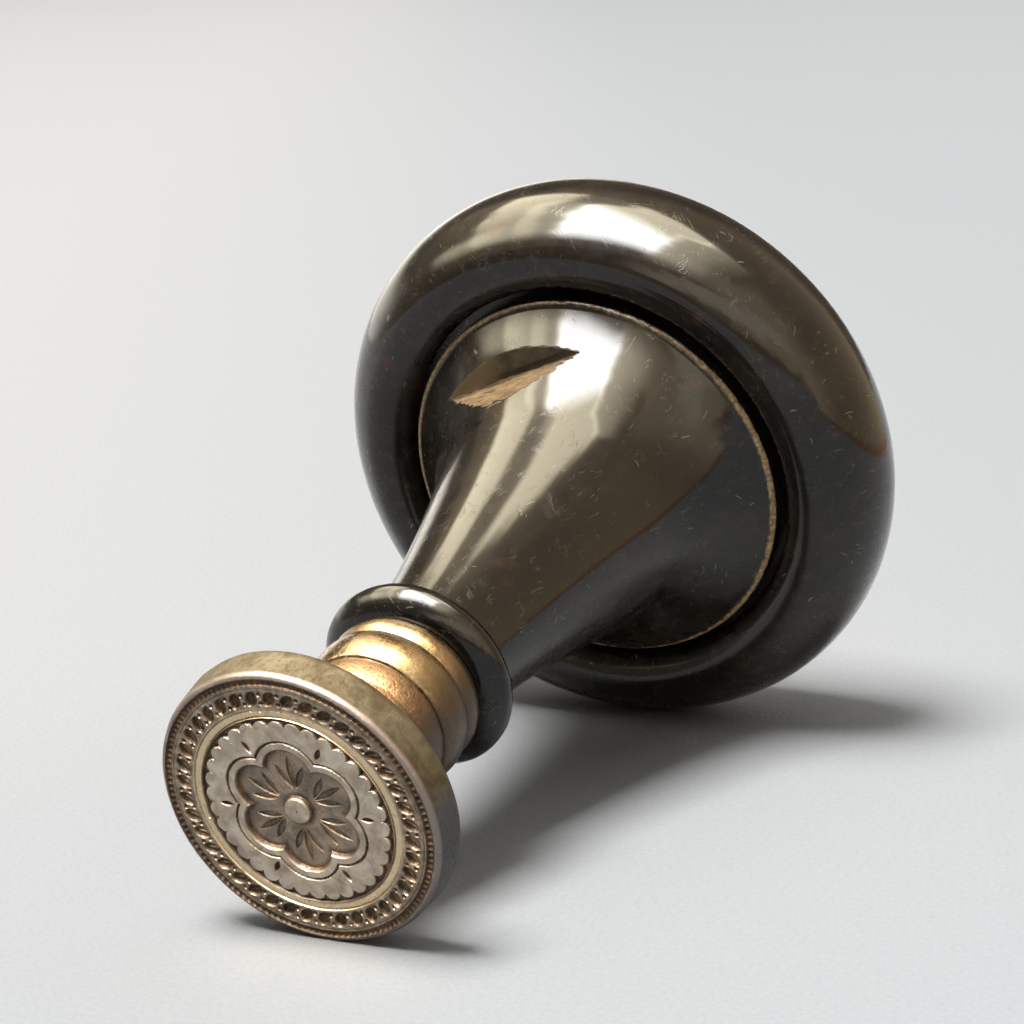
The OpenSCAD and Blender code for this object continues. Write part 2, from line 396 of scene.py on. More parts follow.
def scalloped_edge(share, angle):
    """Channel with scallops along its inner side."""
    x, y = sector(share, angle, SCALLOPS)
    scallop = disc(x, y, SCALLOP[0], math.pi * SCALLOP[0] / SCALLOPS)
    return cut(np.maximum(ring(share, SCALLOP), -scallop), *SCALLOP_CUT)


def sprigs(share, angle):
    """One pointed leaf outside each notch of the foil."""
    x, y = sector(share, angle, LOBES, math.pi / LOBES)
    return cut(leaf(x, y, *SPRIG, SPRIG_WIDTH * (SPRIG[1] - SPRIG[0])), SPRIG_CUT)


def foil(share, angle):
    """Sunk figure of round lobes round a standing eye, with veins in each lobe and a line round it."""
    x, y = sector(share, angle, LOBES)
    lobed = np.minimum(disc(x, y, LOBE_REACH, LOBE_R), share - HEART_R)
    sunk, dark = cut(np.maximum(lobed, EYE_R - share), CUT_DEPTH, LOBE_WALL)
    veins = [leaf(*leaning(x, y, VEIN_ROOT, lean), VEIN[0], VEIN[1] - VEIN_SHORTER * abs(lean), VEIN_W)
             for lean in VEIN_LEANS]
    return stacked([
        (sunk, np.maximum(dark, LOBE_STAIN * sunk / CUT_DEPTH)),
        cut(np.minimum.reduce(veins), *VEIN_CUT),
        cut(np.abs(lobed - FOIL_LINE_AT) - FOIL_LINE_W / 2, *FOIL_LINE_CUT),
    ])


def stacked(layers):
    """Sum of the depths of several cuts, and the darkest of their corners."""
    return sum(sunk for sunk, dark in layers), np.max([dark for sunk, dark in layers], axis=0)


def engraving(radius, angle):
    """Depth of the engraving in millimetres, and its dark corners, at radii in millimetres."""
    share = radius / FACE_R
    return stacked([
        leaf_band(share, angle),
        foil(share, angle),
        scalloped_edge(share, angle),
        sprigs(share, angle),
        milled_border(share, angle),
        cut(ring(share, HAIR_RING), *HAIR_CUT),
        ridge_ring(share),
    ])


# Pieces

def seal_matrix():
    """Disc with its engraved face, its rounded rim and its brass side."""
    rim = (FACE_R - RIM_ROUND, RIM_ROUND)
    lean = math.degrees(math.atan2(MATRIX_BACK_R - FACE_R, MATRIX_TOP - RIM_ROUND))
    hole = SPIGOT_R + FIT
    floor_z = MATRIX_TOP - SPIGOT_DEPTH
    outline = [(rim[0] * i / FACE_RINGS, FACE_Z) for i in range(1, FACE_RINGS)]
    outline += arc(rim, RIM_ROUND, -90, -lean, 0.1)
    outline += path(along_arc(rim, RIM_ROUND, -lean), (MATRIX_BACK_R - BACK_EDGE, MATRIX_TOP - BACK_EDGE),
                    step=0.3)
    outline += path((MATRIX_BACK_R - 2 * BACK_EDGE, MATRIX_TOP), (hole, MATRIX_TOP), (hole, floor_z),
                    (CORE_R, floor_z), step=0.8)

    def shape(radius, height, angle):
        depth, dark = engraving(radius, angle)
        on_face = height < 0.02
        dent = DISC_DENT + DISC_DENT * lumps(around_axis(radius, height, angle), 2.2)
        dent = dent * ~on_face * (height < MATRIX_TOP - 0.4)
        return radius - dent, height + depth * on_face, {"dark": dark * on_face}

    return turned("matrix_disc", outline, shape, around=900)


def neck_foot():
    """Outline of the solder spigot and of the foot that stands on the disc."""
    low = MATRIX_TOP - SPIGOT_DEPTH + SOLDER_GAP
    return path((CORE_R, low), (SPIGOT_R, low), (SPIGOT_R, MATRIX_TOP), (FOOT_R - FOOT_EDGE, MATRIX_TOP),
                (FOOT_R, MATRIX_TOP + FOOT_EDGE), (FOOT_R, HOLLOW_Z - FOOT_ROUND),
                (FOOT_R - FOOT_ROUND, HOLLOW_Z), (HOLLOW_FOOT_R, HOLLOW_Z), step=0.3)


def neck_hollow(crease):
    """Outline of the hollow: a flare, a soft S-bend and a rounded fillet that ends in the crease."""
    waist = (HOLLOW_R, HOLLOW_Z + HOLLOW_RISE)
    spread = HOLLOW_FOOT_R - HOLLOW_R
    flare_r = (spread ** 2 + HOLLOW_RISE ** 2) / (2 * spread)
    fillet = along_arc(crease, -FILLET_ARC_R, FILLET_LEAN[1])
    outline = arc((HOLLOW_R + flare_r, waist[1]), flare_r, 180 + rise_angle(HOLLOW_RISE, flare_r), 180, 0.2)
    outline += ogee(waist, along_arc(fillet, FILLET_ARC_R, FILLET_LEAN[0]))
    return outline + arc(fillet, FILLET_ARC_R, *FILLET_LEAN, 0.15)


def matrix_neck():
    """Turned neck, with a solder spigot below and a blind hole for the stud."""
    bead = (BEAD_R - BEAD_ARC_R, BEAD_Z + BEAD_LEAN * BEAD_H)
    low = rise_angle(BEAD_Z - bead[1], BEAD_ARC_R)
    high = rise_angle(BEAD_TOP - bead[1], BEAD_ARC_R)
    roll = along_arc(along_arc(bead, BEAD_ARC_R, low), -BEAD_UNDER, low)
    small = (SMALL_BEAD_R - SMALL_ARC_R, COLLAR_Z - SMALL_BEAD_MIDDLE)
    small_low = rise_angle(SMALL_BEAD_MIDDLE - SMALL_BEAD_H, SMALL_ARC_R)
    small_high = rise_angle(SMALL_BEAD_MIDDLE, SMALL_ARC_R)
    hole = STUD_R + FIT
    outline = neck_foot() + neck_hollow(along_arc(roll, BEAD_UNDER, BEAD_ROLL))
    outline += arc(roll, BEAD_UNDER, BEAD_ROLL, low, 0.08)
    outline += arc(bead, BEAD_ARC_R, low, high, 0.12)
    outline += path((QUIRK_R, BEAD_TOP), (QUIRK_R, BEAD_TOP + QUIRK_H), step=0.2)
    outline += arc(small, SMALL_ARC_R, small_low, small_high, 0.1)
    outline += path((SMALL_BEAD_R - SMALL_BEAD_EDGE, COLLAR_Z), (hole, COLLAR_Z), (hole, STUD_Z),
                    (CORE_R, STUD_Z), step=0.8)

    def shape(radius, height, angle):
        outside = radius > HOLLOW_R - 0.2
        points = around_axis(radius, height, angle)
        dent = 0.012 * lumps(points, 1.6) + 0.025 * lumps(points, 4.5)
        return radius + dent * outside, height, {}

    return turned("gilt_neck", outline, shape)


def tang_stud():
    """Stud with a helical thread."""
    tip_r = STUD_R - STUD_CHAMFER
    outline = path((CORE_R, STUD_Z), (tip_r, STUD_Z), (STUD_R, STUD_Z + STUD_CHAMFER),
                   (STUD_R, STUD_TOP - STUD_CHAMFER), (tip_r, STUD_TOP), (CORE_R, STUD_TOP), step=PITCH / 10)

    def shape(radius, height, angle):
        turn = (height / PITCH - angle / (2 * math.pi)) % 1
        flank = np.clip(THREAD_SLOPE * np.abs(turn - 0.5) - THREAD_CREST, 0, 1)
        return np.minimum(radius, STUD_R - THREAD_DEPTH * flank), height, {}

    return turned("threaded_stud", outline, shape, around=96)


def collar_ring():
    """Rounded black ring with a tight crest."""
    bore = STEM_SPIGOT_R + FIT
    crest = (COLLAR_R - CREST_ROUND, COLLAR_Z + CREST_SHARE * (STEM_Z - COLLAR_Z))
    front = along_arc(crest, CREST_ROUND, CREST_FRONT)
    back = along_arc(crest, CREST_ROUND, CREST_BACK)
    front_round = (front[1] - COLLAR_Z) / (1 + math.sin(math.radians(CREST_FRONT)))
    back_round = (STEM_Z - back[1]) / (1 - math.sin(math.radians(CREST_BACK)))
    front_middle = along_arc(front, -front_round, CREST_FRONT)
    back_middle = along_arc(back, -back_round, CREST_BACK)
    outline = path((bore, STEM_Z), (bore, COLLAR_Z), (front_middle[0], COLLAR_Z), step=0.6)
    outline += arc(front_middle, front_round, -90, CREST_FRONT, 0.12)
    outline += arc(crest, CREST_ROUND, CREST_FRONT, CREST_BACK, 0.1)
    outline += arc(back_middle, back_round, CREST_BACK, 90, 0.12)
    outline += path((back_middle[0], STEM_Z), (bore, STEM_Z), step=0.6)

    def shape(radius, height, angle):
        outside = radius > front_middle[0]
        dent = COLLAR_DENT - COLLAR_DENT * lumps(around_axis(radius, height, angle), 3.0)
        return radius - dent * outside, height, {}

    return turned("black_collar", outline, shape)


# The old knife cut in the flare, with fibres as layers of (depth, size, offset)
CUT_ANGLE = math.radians(160)
CUT_SPREAD = math.radians(50)
CUT_LOW_Z = 60
CUT_ROOT_R = 17.1
CUT_ROOT_Z = 70.4
CUT_WALL_SLOPE = 8.5
CUT_FLAT_SLOPE = 0.123
CUT_FIBRES = ((0.22, 0.8, 0), (0.14, 0.3, 7))
FIBRE_ACROSS = 5
FIBRE_ALONG = 1.6


def knife_cut(radius, height, angle):
    """Radii with the cut's fibrous flat and its wall taken out, and how deep the cut is."""
    turn = (angle - CUT_ANGLE + math.pi) % (2 * math.pi) - math.pi
    fibre = np.stack([FIBRE_ACROSS * turn, FIBRE_ALONG * height, 0 * height], axis=-1)
    flat = CUT_ROOT_R + CUT_FLAT_SLOPE * (height - CUT_ROOT_Z)
    for depth, size, offset in CUT_FIBRES:
        flat = flat + depth * lumps(fibre + offset, size)
    wall = CUT_ROOT_R + CUT_WALL_SLOPE * (height - CUT_ROOT_Z)
    level = np.maximum(flat, wall)
    near = np.abs(turn) < CUT_SPREAD
    cut_radius = np.where(near, level / np.cos(np.where(near, turn, 0)), radius)
    in_flare = (height > CUT_LOW_Z) & (height < LIP_Z - 0.5)
    taken = np.where(in_flare, np.maximum(radius - cut_radius, 0), 0)
    return radius - taken, taken


def stem_outline():
    """Outline of the stem: the bush's seat, the spigot, the shaft, the flare, the rim and the tenon."""
    end = LIP_R - LIP_ROUND
    shaft_angle = math.degrees(math.atan2(FLARE_R - STEM_END_R, FLARE_Z - STEM_Z))
    flare_angle = math.degrees(math.atan2(end - FLARE_R, FLARE_LEN))
    meet = shaft_angle + MEET_SHARE * (flare_angle - shaft_angle)
    seat = BUSH_R + FIT
    seat_top = BUSH_TOP + END_GAP
    outline = path((CORE_R, seat_top), (seat, seat_top), (seat, SPIGOT_Z), (STEM_SPIGOT_R, SPIGOT_Z),
                   (STEM_SPIGOT_R, STEM_Z), (STEM_END_R - STEM_EDGE, STEM_Z), step=0.8)
    outline += bend((STEM_END_R, STEM_Z + STEM_EDGE), (FLARE_R, FLARE_Z), 2 * shaft_angle - meet, 0.3)
    outline += bend((FLARE_R, FLARE_Z), (end, LIP_Z), meet, 0.1)
    outline += arc((end, LIP_Z + LIP_ROUND), LIP_ROUND, -60, 0, 0.08)
    return outline + path((LIP_R, LIP_Z + LIP_ROUND), (LIP_R, SEAT_Z), (TENON_R, SEAT_Z),
                          (TENON_R, TENON_TOP), (CORE_R, TENON_TOP), step=0.5)


def stem():
    """Trumpet stem with the knife cut and a worn rim that is chipped on the side near the camera."""

    def shape(radius, height, angle):
        shaft_side = (height > STEM_Z) & (height < LIP_Z) & (radius > STEM_END_R - 0.1)
        points = around_axis(radius, height, angle)
        radius = radius + STEM_WAVE * lumps(points, 5.0) * shaft_side
        arris = np.exp(-((height - LIP_Z - WORN_W) / WORN_W) ** 2) * (radius > LIP_R - LIP_ROUND - 1.5)
        near_side = 0.5 - 0.5 * np.sin(angle)
        chip = np.maximum(lumps(points, 0.55) + 0.5 * lumps(points, 1.7) - 0.25, 0)
        radius = radius - CHIP_DEPTH * chip * arris * near_side
        radius, taken = knife_cut(radius, height, angle)
        worn = arris * (0.6 + 0.4 * np.abs(np.sin(angle))) + 0.5 * near_side * arris * lumps(points, 0.7)
        return radius, height, {"taken": taken, "worn": worn}

    return turned("trumpet_stem", stem_outline(), shape, around=640)


def head_ring():
    """Wide ring with a well for the stem's rim, and a seat for the cap."""
    core = HEAD_R - TUBE_R
    middle = HEAD_BACK - TUBE_R
    roll_r = WELL_R + ROLL_R
    roll_z = middle - math.sqrt((TUBE_R - ROLL_R) ** 2 - (roll_r - core) ** 2)
    touch = math.degrees(math.atan2(roll_z - middle, roll_r - core))
    mortise = TENON_R + FIT
    cap_seat = CAP_R + FIT
    outline = path((mortise, SEAT_Z), (WELL_R, SEAT_Z), (WELL_R, roll_z), step=0.5)
    outline += arc((roll_r, roll_z), ROLL_R, 180, 360 + touch, 0.2)
    outline += arc((core, middle), TUBE_R, touch, 90, 0.3)
    outline += path((core, HEAD_BACK), (cap_seat, HEAD_BACK), (cap_seat, CAP_Z), (mortise, CAP_Z),
                    (mortise, SEAT_Z), step=0.6)

    def shape(radius, height, angle):
        outside = (radius > WELL_R + 0.1) & (height < HEAD_BACK - 0.02)
        dent = HEAD_DENT + HEAD_DENT * lumps(around_axis(radius, height, angle), 6.0)
        return radius - dent * outside, height, {}

    return turned("palm_ring", outline, shape, around=400)


def palm_cap():
    """Domed cap with turned lines near its edge and its middle."""
    rise = CAP_TOP - HEAD_BACK - DOME_SINK
    dome = (CAP_R ** 2 + rise ** 2) / (2 * rise)
    outline = path((CORE_R, CAP_Z), (CAP_R, CAP_Z), (CAP_R, HEAD_BACK), step=0.6)
    outline += [(CAP_R * (1 - i / CAP_RINGS), HEAD_BACK) for i in range(CAP_RINGS)]

    def shape(radius, height, angle):
        top = height > HEAD_BACK - 0.01
        lift = rise - dome + np.sqrt(dome ** 2 - radius ** 2)
        lines = sum(depth * np.exp(-((radius - at) / width) ** 2) for at, depth, width in CAP_LINES)
        return radius, height + np.maximum(lift - lines, 0) * top, {}

    return turned("domed_cap", outline, shape, around=192)


# Materials

class Nodes:
    """A node tree in the making. Each method adds nodes and gives back an output."""

    def __init__(self, tree):
        self.tree = tree

    def node(self, kind, values=None, **settings):
        """A node with its settings, whose sockets are set to values or joined to outputs."""
        node = self.tree.nodes.new(kind)
        for name, value in settings.items():
            setattr(node, name, value)
        for socket, value in (values or {}).items():
            self.feed(node.inputs[socket], value)
        return node

    def feed(self, socket, value):
        """Sets a socket to a plain value, or joins it to an output."""
        if isinstance(value, bpy.types.NodeSocket):
            self.tree.links.new(value, socket)
        else:
            socket.default_value = value

    def math(self, operation, a, b=0.0):
        return self.node("ShaderNodeMath", {0: a, 1: b}, operation=operation).outputs[0]

    def many(self, operation, values):
        """One operation over several values in turn."""
        total = values[0]
        for value in values[1:]:
            total = self.math(operation, total, value)
        return total

    def times(self, *values):
        return self.many("MULTIPLY", values)

    def plus(self, *values):
        return self.many("ADD", values)

    def most(self, *values):
        return self.many("MAXIMUM", values)

    def vector(self, operation, a, b=(0, 0, 0), output=0):
        return self.node("ShaderNodeVectorMath", {0: a, 1: b}, operation=operation).outputs[output]

    def scaled(self, vector, factor):
        return self.node("ShaderNodeVectorMath", {0: vector, "Scale": factor}, operation="SCALE").outputs[0]

    def dot(self, a, b):
        return self.vector("DOT_PRODUCT", a, b, "Value")

    def length(self, vector):
        return self.vector("LENGTH", vector, output="Value")

    def part(self, vector, axis):
        """One of a vector's X, Y and Z."""
        return self.node("ShaderNodeSeparateXYZ", {0: vector}).outputs[axis]

    def ramp(self, value, low, high, start=0.0, end=1.0):
        """Eases from start to end as value goes from low to high."""
        values = {"Value": value, "From Min": low, "From Max": high, "To Min": start, "To Max": end}
        return self.node("ShaderNodeMapRange", values, interpolation_type="SMOOTHSTEP").outputs[0]

    def band(self, value, low, high, blur):
        """1 between low and high, easing off over blur."""
        rise = self.ramp(value, low - blur, low)
        return self.times(rise, self.ramp(value, high, high + blur, 1.0, 0.0))

    def mix(self, share, a, b):
        """Colour between a and b."""
        node = self.node("ShaderNodeMix", data_type="RGBA")
        sockets = {socket.identifier: socket for socket in node.inputs}
        for name, value in (("Factor_Float", share), ("A_Color", a), ("B_Color", b)):
            self.feed(sockets[name], (*value, 1) if isinstance(value, tuple) else value)
        return next(socket for socket in node.outputs if socket.identifier == "Result_Color")

    def layers(self, colour, *layers):
        """Colour with (share, strength, colour) layers over it, one after another."""
        for share, strength, layer in layers:
            colour = self.mix(self.times(share, strength), colour, layer)
        return colour


class Paint(Nodes):
    """A material in the making, with constants for its shader's sockets.
    Patterns are laid out in axis millimetres, or in the object's millimetres where laid is False."""

    def __init__(self, name, laid=True, **constants):
        self.material = bpy.data.materials.new(name)
        self.material.use_nodes = True
        super().__init__(self.material.node_tree)
        self.shader = self.tree.nodes["Principled BSDF"]
        self.set(**constants)
        if laid:
            self.mm = self.node("ShaderNodeAttribute", attribute_name="spot").outputs["Vector"]
        else:
            self.mm = self.scaled(self.node("ShaderNodeTexCoord").outputs["Object"], 1 / MM)

    def set(self, **values):
        """Feeds the shader's own sockets."""
        for socket, value in values.items():
            self.feed(self.shader.inputs[socket.replace("_", " ")], value)

    def emit(self, colour):
        """Makes the material shine with a colour instead of reflecting."""
        light = self.node("ShaderNodeEmission", {"Color": colour}).outputs[0]
        self.feed(self.tree.nodes["Material Output"].inputs["Surface"], light)

    def bump(self, *layers):
        """Normal of several (height, depth in millimetres) layers."""
        total = self.plus(*[self.times(height, depth) for height, depth in layers])
        normal = self.node("ShaderNodeBump", {"Height": total, "Distance": MM}).outputs[0]
        self.set(Normal=normal, Coat_Normal=normal)

    def finished(self, colour, rough, *layers):
        """The material with its colour, its roughness and the layers of its bumps."""
        self.set(Base_Color=colour, Roughness=rough)
        self.bump(*layers)
        return self.material

    def attribute(self, name):
        return self.node("ShaderNodeAttribute", attribute_name=name).outputs["Fac"]

    def height(self):
        """Height along the axis in millimetres."""
        return self.part(self.mm, "Z")

    def radius(self):
        """Distance from the axis in millimetres."""
        return self.length(self.vector("MULTIPLY", self.mm, (1, 1, 0)))

    def noise(self, scale, detail=3.0, size=(1, 1, 1), turn=(0, 0, 0), rough=0.55, warp=0.0):
        """Noise that is drawn out by size along turned axes."""
        drawn = {"Vector": self.mm, "Rotation": turn, "Scale": size}
        spot = self.node("ShaderNodeMapping", drawn, vector_type="TEXTURE").outputs[0]
        values = {"Vector": spot, "Scale": scale, "Detail": detail, "Roughness": rough, "Distortion": warp}
        return self.node("ShaderNodeTexNoise", values).outputs[0]

    def hairlines(self, scale, width, size, turn, keep):
        """Thin broken lines: contours of a drawn-out noise, kept where a wider noise is above keep."""
        contour = self.math("ABSOLUTE", self.math("SUBTRACT", self.noise(scale, 1.0, size, turn), 0.5))
        fine = self.ramp(contour, 0.0, width, 1.0, 0.0)
        kept = self.ramp(self.noise(0.45, 2.0, turn=turn), keep, keep + 0.06)
        return self.times(fine, kept)

    def cells(self, scale, share, channel):
        """Outputs of a grid of cells with random colours, and 1 in a share of its cells."""
        outputs = self.node("ShaderNodeTexVoronoi", {"Vector": self.mm, "Scale": scale}).outputs
        pick = self.node("ShaderNodeSeparateColor", {0: outputs["Color"]}).outputs[channel]
        return outputs, self.math("LESS_THAN", pick, share)

    def specks(self, scale, radius, share):
        """Scattered dots, in a share of the cells of a grid."""
        outputs, kept = self.cells(scale, share, 0)
        dot = self.ramp(outputs["Distance"], 0.6 * radius * scale, radius * scale, 1.0, 0.0)
        return self.times(dot, kept)

    def hairs(self, scale, length, width, share):
        """Short bent hairs at all angles, in a share of the cells of a grid."""
        outputs, kept = self.cells(scale, share, 2)
        apart = self.vector("SUBTRACT", self.mm, outputs["Position"])
        away = self.length(apart)
        across = self.vector("NORMALIZE", self.vector("SUBTRACT", outputs["Color"], (0.5, 0.5, 0.5)))
        bent = self.math("SUBTRACT", self.dot(apart, across), self.times(away, away, 0.08 / length))
        fine = self.ramp(self.math("ABSOLUTE", bent), 0.4 * width, width, 1.0, 0.0)
        tilt = self.dot(self.node("ShaderNodeTexCoord").outputs["Normal"], across)
        upright = self.ramp(self.math("ABSOLUTE", tilt), 0.45, 0.65, 1.0, 0.0)
        return self.times(fine, kept, upright, self.ramp(away, 0.7 * length, length, 1.0, 0.0))


HORN_BLACK = (0.011, 0.0088, 0.0068)
SCRATCH = (0.18, 0.155, 0.115)
DUST = (0.3, 0.25, 0.185)

# Direction, about the axis, of the low side near the camera, on which painted shade and a painted reflection
# of the floor darken the metal
SHADE_AND_REFLECTION_SIDE = (0.5, -0.866, 0)


def scratched(paint):
    """Fine scratches, dust hairs and specks of a surface that was handled for long."""
    handled = paint.ramp(paint.noise(0.11, 2.0), 0.52, 0.6)
    dusty = paint.ramp(paint.noise(0.16, 2.0), 0.5, 0.6)
    lines = [
        paint.hairlines(1.6, 0.03, (1, 1, 14), (0.3, 0.2, 0.0), 0.58),
        paint.hairlines(1.9, 0.03, (1, 12, 1), (0.5, 0.1, 0.7), 0.6),
        paint.hairs(0.25, 1.6, 0.03, 0.2),
        paint.times(paint.hairs(0.6, 1.0, 0.03, 0.8), handled),
    ]
    dust = [
        paint.specks(0.4, 0.08, 0.4),
        paint.hairs(0.35, 0.7, 0.05, 0.25),
        paint.times(paint.hairs(0.75, 0.5, 0.055, 0.5), dusty),
    ]
    return paint.most(*lines), paint.most(*dust)


def horn(name, deep, brown, red):
    """Polished black-brown horn, with a broad haze under a sharp polish."""
    paint = Paint(name, IOR=1.45, Specular_IOR_Level=0.06)
    paint.set(Coat_Weight=1.0, Coat_Roughness=0.095, Coat_IOR=1.39)
    lines, dust = scratched(paint)
    cloud = paint.ramp(paint.noise(0.09, 4.0, (1, 1, 3), warp=0.6), 0.35, 0.7)
    streak = paint.ramp(paint.noise(0.5, 4.0, (1, 1, 6), warp=0.4), 0.52, 0.72)
    ember = paint.ramp(paint.noise(0.16, 3.0, (1, 1, 2), (0.4, 0.8, 0.1)), 0.64, 0.74)
    pale = tuple(1.7 * c for c in brown)
    colour = paint.layers(paint.mix(cloud, deep, brown), (streak, 0.5, pale), (ember, 0.6, red),
                          (lines, 0.35, SCRATCH), (dust, 0.8, DUST))
    rough = paint.ramp(paint.noise(0.35, 4.0), 0.3, 0.75, 0.24, 0.42)
    rough = paint.plus(rough, paint.times(lines, 0.2))
    return paint, colour, rough, lines


def head_horn():
    """Horn of the head and its cap."""
    paint, colour, rough, lines = horn("head horn", HORN_BLACK, (0.025, 0.018, 0.012), (0.08, 0.026, 0.01))
    return paint.finished(colour, rough, (paint.noise(0.12, 2.0), 0.035), (lines, -0.005),
                          (paint.noise(6.0, 2.0), 0.0006))


def collar_horn():
    """Blacker horn of the collar."""
    deep = (0.005, 0.0045, 0.0045)
    paint, colour, rough, lines = horn("collar horn", deep, (0.01, 0.0085, 0.007), (0.03, 0.014, 0.008))
    return paint.finished(colour, rough, (paint.noise(0.2, 2.0), 0.03), (lines, -0.006))


def cut_colour(paint, fibre):
    """Bare fibre of the knife cut: a tan flat, dark at its root, and a brown wall, pale at its left end,
    with painted shade at its foot towards its right end.
    """
    grain = paint.ramp(fibre, 0.3, 0.7)
    flat = paint.mix(grain, (0.27, 0.165, 0.08), (0.52, 0.36, 0.19))
    root = paint.ramp(paint.height(), CUT_ROOT_Z - 1.1, CUT_ROOT_Z - 0.3)
    flat = paint.layers(flat, (root, 0.85, (0.06, 0.035, 0.017)))
    across = paint.part(paint.mm, "Y")
    wall = paint.mix(grain, (0.055, 0.042, 0.024), (0.12, 0.092, 0.052))
    wall = paint.mix(paint.ramp(across, 5.5, 11.0, 0.0, 0.85), wall, (0.2, 0.135, 0.07))
    up_wall = paint.dot(paint.mm, (math.cos(CUT_ANGLE), math.sin(CUT_ANGLE), 0))
    foot = paint.band(up_wall, CUT_ROOT_R, CUT_ROOT_R + 0.7, 0.25)
    # Painted shade: the foot of the wall, towards its right end, darkened to near black
    shaded_foot = paint.times(foot, paint.ramp(across, 9.0, 6.5))
    wall = paint.layers(wall, (shaded_foot, 0.85, (0.035, 0.022, 0.012)))
    on_wall = paint.ramp(paint.height(), CUT_ROOT_Z - 0.1, CUT_ROOT_Z + 0.05)
    return paint.mix(on_wall, flat, wall)


def stem_horn():
    """Horn of the stem, with its pale worn rim and the bare fibre of the knife cut."""
    paint, colour, rough, lines = horn("stem horn", HORN_BLACK, (0.026, 0.019, 0.012), (0.09, 0.03, 0.011))
    grit = paint.noise(2.2, 4.0)
    worn = paint.ramp(paint.attribute("worn"), 0.3, 0.65)
    tan = paint.mix(paint.ramp(grit, 0.4, 0.65), (0.3, 0.18, 0.08), (0.6, 0.41, 0.2))
    colour = paint.mix(worn, colour, tan)
    open_cut = paint.ramp(paint.attribute("taken"), 0.03, 0.1)
    fibre = paint.noise(1.4, 5.0, (3.0, 3.0, 0.7), (0.0, 0.0, 0.3))
    colour = paint.mix(open_cut, colour, cut_colour(paint, fibre))
    rough = paint.most(rough, paint.times(open_cut, 0.6))
    paint.set(Coat_Weight=paint.ramp(open_cut, 0.0, 1.0, 1.0, 0.05))
    return paint.finished(colour, rough, (paint.noise(0.12, 2.0), 0.02), (lines, -0.005),
                          (paint.times(fibre, open_cut), 0.25), (paint.times(worn, grit), 0.15))


def towards_shade_and_reflection_side(paint, blot):
    """Millimetres from the axis towards the side of painted shade and reflection, with blotches that make
    its edge uneven.
    """
    return paint.plus(paint.dot(paint.mm, SHADE_AND_REFLECTION_SIDE), paint.times(blot, 6.0))


def quirk_tarnish_and_crease_shade(paint):
    """1 in the quirk, where it is tarnish, and in the crease under the broad bead, where it is painted
    shade, broken up by noise.
    """
    quirk_z = BEAD_TOP + QUIRK_H / 2
    crease_z = quirk_z - BEAD_H
    quirk = paint.band(paint.height(), quirk_z - 0.5, quirk_z + 0.2, 0.7)
    # Painted shade in the crease under the broad bead
    crease = paint.band(paint.height(), crease_z - 0.7, crease_z + 0.2, 0.5)
    broken = paint.ramp(paint.noise(1.7, 4.0), 0.35, 0.6)
    return paint.times(paint.plus(quirk, crease), broken)


def gilt():
    """Gilt brass with brown tarnish, painted shade in the crease under the bead and on the low side near the
    camera, and bare copper colour in the hollow.
    """
    paint = Paint("gilt brass", Metallic=1.0, Coat_Weight=0.5, Coat_Roughness=0.2)
    blot = paint.noise(0.55, 5.0, warp=0.8)
    fleck = paint.ramp(paint.noise(2.4, 5.0, rough=0.65), 0.45, 0.75)
    hollow = paint.band(paint.height(), HOLLOW_Z, BEAD_Z - 0.7, 0.3)
    pit = paint.ramp(paint.noise(2.8, 4.0, turn=(0.2, 0.5, 0.1)), 0.46, 0.62)
    stain = paint.ramp(paint.noise(0.22, 4.0, turn=(0.7, 0.2, 0.4), warp=0.5), 0.46, 0.64)
    # Painted shade and painted reflection of the shaded floor: dark brown on the low side near the camera
    brown = paint.ramp(towards_shade_and_reflection_side(paint, blot), 4.9, 9.3)
    colour = paint.layers(
        paint.mix(paint.ramp(blot, 0.35, 0.65), (0.19, 0.125, 0.06), (0.4, 0.28, 0.145)),
        (hollow, 0.9, paint.mix(pit, (0.22, 0.12, 0.058), (0.115, 0.058, 0.028))),
        (fleck, 0.7, (0.1, 0.064, 0.034)),
        (quirk_tarnish_and_crease_shade(paint), 0.75, (0.1, 0.066, 0.04)),
        (stain, 0.6, (0.13, 0.094, 0.055)),
        (brown, 0.9, (0.05, 0.034, 0.022)))
    rough = paint.ramp(paint.plus(fleck, stain, brown), 0.0, 1.5, 0.2, 0.42)
    rough = paint.most(rough, paint.times(hollow, 0.42))
    lathe = paint.noise(3.0, 1.0, (60, 60, 0.25))
    return paint.finished(colour, rough, (lathe, 0.01), (paint.noise(1.5, 4.0), 0.012), (fleck, -0.012),
                          (paint.times(pit, hollow), -0.02))


def face_nicks(paint):
    """Scratches at two slants and small nicks."""
    return paint.most(paint.hairlines(0.8, 0.018, (9, 1, 1), (0.0, 0.0, 0.6), 0.56),
                      paint.hairlines(0.9, 0.018, (9, 1, 1), (0.0, 0.0, 2.1), 0.58),
                      paint.specks(0.5, 0.14, 0.3))


